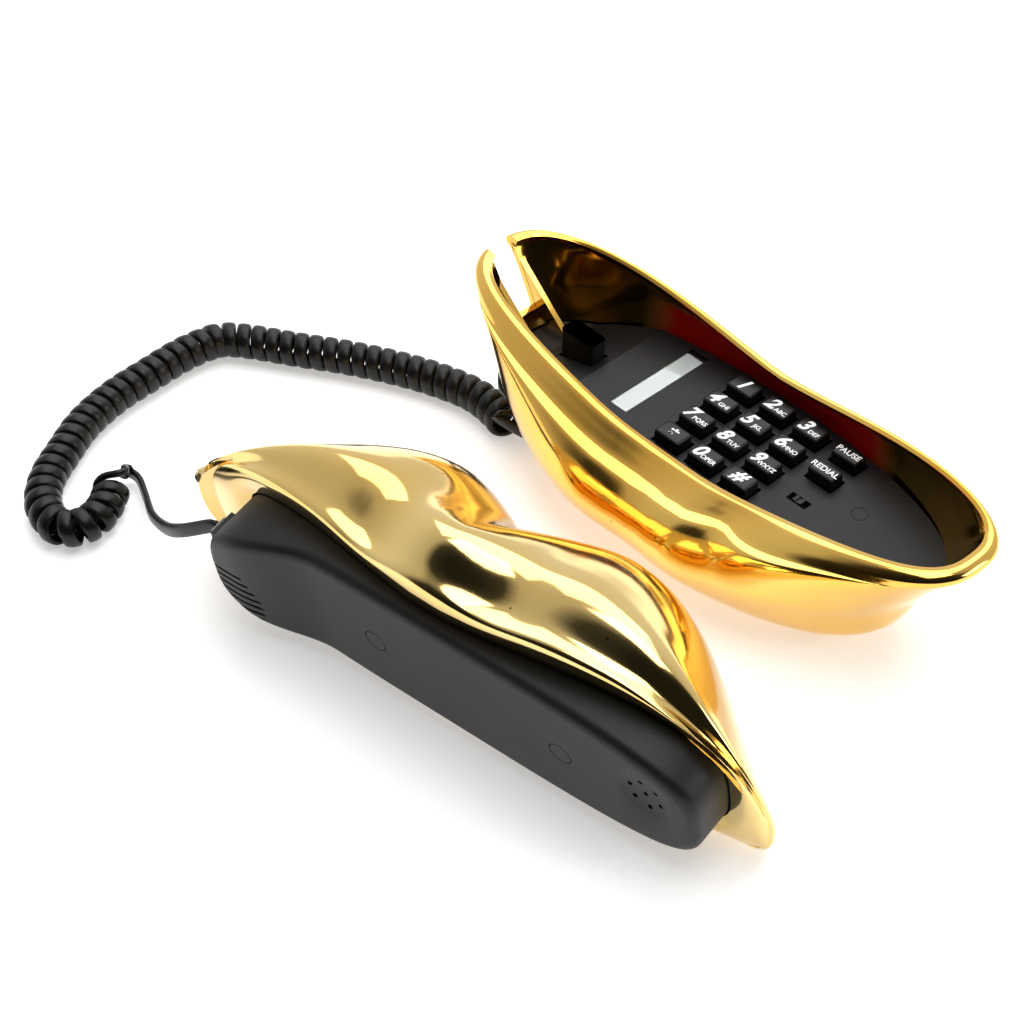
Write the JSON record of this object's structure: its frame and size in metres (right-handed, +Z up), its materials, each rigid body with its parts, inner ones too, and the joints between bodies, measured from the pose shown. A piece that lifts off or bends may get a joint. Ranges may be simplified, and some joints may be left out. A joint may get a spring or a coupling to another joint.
{
  "type": "novelty shaped telephone",
  "caption": "Lips-shaped corded desk telephone off the hook: gold lower-lip base with a keypad inside, gold upper-lip handset on its back, and a black curly cord.",
  "frame": {"origin": "on the table under the middle of the base", "axes": "+X along the base towards the receiver end, -Y towards the user, +Z up"},
  "size_m": [0.279, 0.1947, 0.0676],
  "materials": {
    "gold": "vacuum-metallised gold plastic, mirror-like",
    "black": "fine matte moulded black",
    "key": "black with white printed legends",
    "steel": "plated",
    "rubber": "soft black",
    "clear": "clear moulded",
    "card": "blank white card",
    "board": "solder-masked board",
    "silicone": "grey silicone",
    "brass": "plain"
  },
  "bodies": {
    "base": {"base_bottom_cover": "black", "base_cord_socket": "black", "base_plug": "clear", "base_screw_1": "steel", "base_screw_2": "steel", "base_screw_3": "steel", "base_screw_4": "steel", "base_shell": "gold", "cord_coil": "rubber", "cord_lead_base": "rubber", "cord_lead_handset": "rubber", "hook_spring": "steel", "hook_switch": "black", "keypad_deck": "black", "keypad_membrane": "silicone", "label_card": "card", "label_window": "clear", "line_socket": "black", "main_board": "board", "ringer": "brass", "rubber_foot_1": "rubber", "rubber_foot_2": "rubber", "rubber_foot_3": "rubber", "rubber_foot_4": "rubber", "tone_switch_body": "steel"},
    "handset": {"handset_outer_shell": "gold", "handset_grip": "black", "screw_plug_1": "black", "screw_plug_2": "black", "handset_screw_1": "steel", "handset_screw_2": "steel", "receiver_capsule": "steel", "microphone_capsule": "steel", "handset_cord_socket": "black", "handset_plug": "clear"},
    "hook_plunger": {"hook_plunger": "black"},
    "tone_pulse_slider": {"tone_pulse_slider": "black"},
    "key_1": {"key_1": "key"},
    "key_2": {"key_2": "key"},
    "key_3": {"key_3": "key"},
    "key_4": {"key_4": "key"},
    "key_5": {"key_5": "key"},
    "key_6": {"key_6": "key"},
    "key_7": {"key_7": "key"},
    "key_8": {"key_8": "key"},
    "key_9": {"key_9": "key"},
    "key_star": {"key_star": "key"},
    "key_0": {"key_0": "key"},
    "key_hash": {"key_hash": "key"},
    "key_pause": {"key_pause": "key"},
    "key_redial": {"key_redial": "key"}
  },
  "joints": [
    {"name": "handset_lift", "type": "slide", "parent": "base", "child": "handset", "axis": [0, 0, 1], "range_m": [0, 0.12]},
    {"name": "hook_press", "type": "slide", "parent": "base", "child": "hook_plunger", "axis": [0, 0, -1], "range_m": [0, 0.006], "stiffness_N_per_m": 120, "springref_m": -0.002, "deforming": ["hook_spring"]},
    {"name": "tone_pulse_slide", "type": "slide", "parent": "base", "child": "tone_pulse_slider", "axis": [1, 0, 0], "range_m": [-0.0015, 0.0015]},
    {"name": "key_1_press", "type": "slide", "parent": "base", "child": "key_1", "axis": [0, 0, -1], "range_m": [0, 0.0015], "stiffness_N_per_m": 300, "springref_m": -0.001},
    {"name": "key_2_press", "type": "slide", "parent": "base", "child": "key_2", "axis": [0, 0, -1], "range_m": [0, 0.0015], "stiffness_N_per_m": 300, "springref_m": -0.001},
    {"name": "key_3_press", "type": "slide", "parent": "base", "child": "key_3", "axis": [0, 0, -1], "range_m": [0, 0.0015], "stiffness_N_per_m": 300, "springref_m": -0.001},
    {"name": "key_4_press", "type": "slide", "parent": "base", "child": "key_4", "axis": [0, 0, -1], "range_m": [0, 0.0015], "stiffness_N_per_m": 300, "springref_m": -0.001},
    {"name": "key_5_press", "type": "slide", "parent": "base", "child": "key_5", "axis": [0, 0, -1], "range_m": [0, 0.0015], "stiffness_N_per_m": 300, "springref_m": -0.001},
    {"name": "key_6_press", "type": "slide", "parent": "base", "child": "key_6", "axis": [0, 0, -1], "range_m": [0, 0.0015], "stiffness_N_per_m": 300, "springref_m": -0.001},
    {"name": "key_7_press", "type": "slide", "parent": "base", "child": "key_7", "axis": [0, 0, -1], "range_m": [0, 0.0015], "stiffness_N_per_m": 300, "springref_m": -0.001},
    {"name": "key_8_press", "type": "slide", "parent": "base", "child": "key_8", "axis": [0, 0, -1], "range_m": [0, 0.0015], "stiffness_N_per_m": 300, "springref_m": -0.001},
    {"name": "key_9_press", "type": "slide", "parent": "base", "child": "key_9", "axis": [0, 0, -1], "range_m": [0, 0.0015], "stiffness_N_per_m": 300, "springref_m": -0.001},
    {"name": "key_star_press", "type": "slide", "parent": "base", "child": "key_star", "axis": [0, 0, -1], "range_m": [0, 0.0015], "stiffness_N_per_m": 300, "springref_m": -0.001},
    {"name": "key_0_press", "type": "slide", "parent": "base", "child": "key_0", "axis": [0, 0, -1], "range_m": [0, 0.0015], "stiffness_N_per_m": 300, "springref_m": -0.001},
    {"name": "key_hash_press", "type": "slide", "parent": "base", "child": "key_hash", "axis": [0, 0, -1], "range_m": [0, 0.0015], "stiffness_N_per_m": 300, "springref_m": -0.001},
    {"name": "key_pause_press", "type": "slide", "parent": "base", "child": "key_pause", "axis": [0, 0, -1], "range_m": [0, 0.0015], "stiffness_N_per_m": 300, "springref_m": -0.001},
    {"name": "key_redial_press", "type": "slide", "parent": "base", "child": "key_redial", "axis": [0, 0, -1], "range_m": [0, 0.0015], "stiffness_N_per_m": 300, "springref_m": -0.001}
  ]
}
